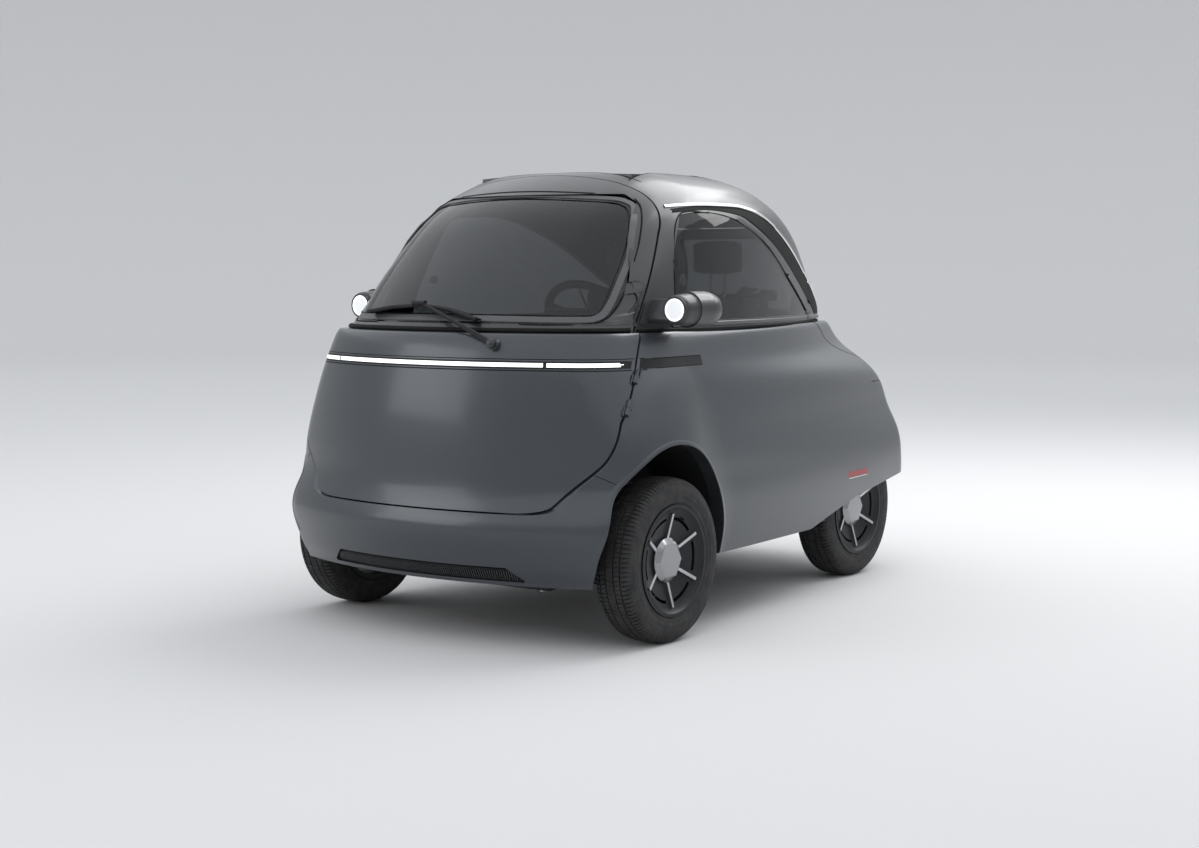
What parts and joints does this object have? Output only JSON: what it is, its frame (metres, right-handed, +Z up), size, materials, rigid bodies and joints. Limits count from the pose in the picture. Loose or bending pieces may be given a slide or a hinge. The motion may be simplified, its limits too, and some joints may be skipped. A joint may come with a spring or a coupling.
{
  "type": "microcar",
  "caption": "Egg-shaped two-seat electric microcar: the whole nose is a side-hinged door, narrow rear track, round side lamp pods, white light bar and lifting tailgate.",
  "frame": {"origin": "on the ground below the middle of the bounding box", "axes": "+Z up, the nose faces -Y, the car's left side is +X"},
  "size_m": [1.4606, 2.5187, 1.503],
  "materials": {
    "paint_body": "satin",
    "black_plastic": "matte",
    "gloss_black": "gloss",
    "glass": "gloss",
    "lamp_white": "gloss",
    "lamp_red": "gloss",
    "mirror": "gloss",
    "tyre": "matte",
    "wheel_dark": "satin",
    "silver": "satin",
    "chassis": "satin",
    "steel": "satin",
    "alloy": "satin",
    "battery_case": "satin",
    "seat_fabric": "matte"
  },
  "bodies": {
    "root": {"battery_pack": "battery_case", "body_left": "paint_body", "body_right": "paint_body", "drive_motor": "alloy", "floor_pan": "chassis", "front_bumper": "paint_body", "front_grille": "black_plastic", "front_struts": "steel", "front_subframe": "chassis", "front_wishbones": "chassis", "headlamps": "lamp_white", "headrests": "seat_fabric", "lamp_pods": "gloss_black", "mirror_glasses": "mirror", "pedals": "steel", "plate_holder": "black_plastic", "rear_axle": "chassis", "rear_bumper": "paint_body", "rear_dampers": "steel", "rear_reflectors": "lamp_red", "roof_panel": "paint_body", "seat_backrest": "seat_fabric", "seat_base": "black_plastic", "seat_cushion": "seat_fabric", "seat_frame": "black_plastic", "side_strips": "gloss_black", "side_windows": "glass", "steering_column": "black_plastic", "steering_rack": "alloy", "sunroof": "paint_body", "wheel_liners": "black_plastic", "window_frames": "black_plastic"},
    "door": {"front_door": "paint_body", "windscreen": "glass", "front_light_bar": "lamp_white", "wiper": "black_plastic", "dash_beam": "alloy"},
    "hatch": {"rear_hatch": "paint_body", "rear_window": "glass", "rear_light_bar": "lamp_red"},
    "steer_left": {"knuckle_left": "chassis"},
    "steer_right": {"knuckle_right": "chassis"},
    "steering_wheel": {"steering_wheel": "black_plastic"},
    "wheel_fl": {"tyre_fl": "tyre", "rim_fl": "wheel_dark", "hub_cap_fl": "silver"},
    "wheel_fr": {"tyre_fr": "tyre", "rim_fr": "wheel_dark", "hub_cap_fr": "silver"},
    "wheel_rl": {"tyre_rl": "tyre", "rim_rl": "wheel_dark", "hub_cap_rl": "silver"},
    "wheel_rr": {"tyre_rr": "tyre", "rim_rr": "wheel_dark", "hub_cap_rr": "silver"}
  },
  "joints": [
    {"name": "front_door_hinge", "type": "hinge", "parent": "root", "child": "door", "pos_m": [0.6625, -1.0036, 0.7046], "axis": [-0.1229, 0.5525, 0.8244], "range_deg": [0, 72]},
    {"name": "rear_hatch_hinge", "type": "hinge", "parent": "root", "child": "hatch", "pos_m": [0, 0.59, 1.333], "axis": [1, 0, 0], "range_deg": [0, 70]},
    {"name": "steer_left_pivot", "type": "hinge", "parent": "root", "child": "steer_left", "pos_m": [0.586, -0.785, 0.2626], "axis": [0, 0, 1], "range_deg": [-28, 28]},
    {"name": "steer_right_pivot", "type": "hinge", "parent": "root", "child": "steer_right", "pos_m": [-0.586, -0.785, 0.2626], "axis": [0, 0, 1], "range_deg": [-28, 28]},
    {"name": "steering_wheel_turn", "type": "hinge", "parent": "root", "child": "steering_wheel", "pos_m": [0.245, -0.59, 0.99], "axis": [0, 0.8192, 0.5736], "range_deg": [-422, 422]},
    {"name": "wheel_fl_spin", "type": "hinge", "parent": "steer_left", "child": "wheel_fl", "pos_m": [0.636, -0.785, 0.2626], "axis": [1, 0, 0], "continuous": true},
    {"name": "wheel_fr_spin", "type": "hinge", "parent": "steer_right", "child": "wheel_fr", "pos_m": [-0.636, -0.785, 0.2626], "axis": [1, 0, 0], "continuous": true},
    {"name": "wheel_rl_spin", "type": "hinge", "parent": "root", "child": "wheel_rl", "pos_m": [0.444, 0.758, 0.2626], "axis": [1, 0, 0], "continuous": true},
    {"name": "wheel_rr_spin", "type": "hinge", "parent": "root", "child": "wheel_rr", "pos_m": [-0.444, 0.758, 0.2626], "axis": [1, 0, 0], "continuous": true}
  ],
  "couplings": [
    {"joint": "steer_right_pivot", "follows": "steer_left_pivot", "ratio": 1},
    {"joint": "steering_wheel_turn", "follows": "steer_left_pivot", "ratio": 15}
  ]
}
